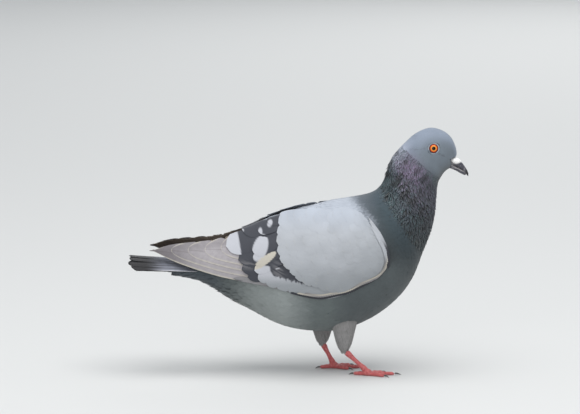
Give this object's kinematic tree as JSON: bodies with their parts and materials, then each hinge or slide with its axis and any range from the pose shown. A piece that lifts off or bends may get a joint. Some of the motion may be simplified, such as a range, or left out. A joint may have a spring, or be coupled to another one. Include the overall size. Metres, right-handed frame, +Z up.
{
  "type": "pigeon",
  "caption": "Life-size still model of a grey pigeon in profile, head up, wings folded over the back, walking stance on red feet.",
  "frame": {"origin": "middle of the bounding box's base, on the floor that the feet stand on", "axes": "+X ahead, towards the bill; +Y to the bird's left; +Z up"},
  "size_m": [0.314, 0.1028, 0.2289],
  "materials": {
    "head_plumage": "matte, short close feathers, blue-grey",
    "neck_plumage": "dark slate feathers with a green and purple gloss",
    "breast_plumage": "matte dark slate feathers over the flight muscles",
    "body_plumage": "matte mid grey feathers",
    "covert_plumage": "matte pale silver grey feathers",
    "secondary_plumage": "pale grey feathers with blue-black bars and white marks",
    "flight_feathers": "brownish grey flight feathers with pale edges",
    "tail_feathers": "dark grey tail feathers with a black end band",
    "thigh_plumage": "short grey feathers",
    "horn": "smooth dark grey horn, paler below",
    "cere": "chalky white skin",
    "eye": "wet, orange-red iris and black pupil",
    "foot_skin": "red scaled skin",
    "claw": "smooth dark horn"
  },
  "bodies": {
    "root": {"head": "head_plumage", "neck": "neck_plumage", "breast": "breast_plumage", "loins": "body_plumage", "tail": "tail_feathers", "wing_right": "covert_plumage", "secondaries_right": "secondary_plumage", "primaries_right": "flight_feathers", "wing_left": "covert_plumage", "secondaries_left": "secondary_plumage", "primaries_left": "flight_feathers", "bill_upper": "horn", "bill_lower": "horn", "cere": "cere", "eye_right": "eye", "eye_left": "eye", "thigh_right": "thigh_plumage", "tarsus_right": "foot_skin", "foot_right": "foot_skin", "claw_inner_right": "claw", "claw_middle_right": "claw", "claw_outer_right": "claw", "claw_hind_right": "claw", "thigh_left": "thigh_plumage", "tarsus_left": "foot_skin", "foot_left": "foot_skin", "claw_inner_left": "claw", "claw_middle_left": "claw", "claw_outer_left": "claw", "claw_hind_left": "claw"}
  },
  "joints": []
}
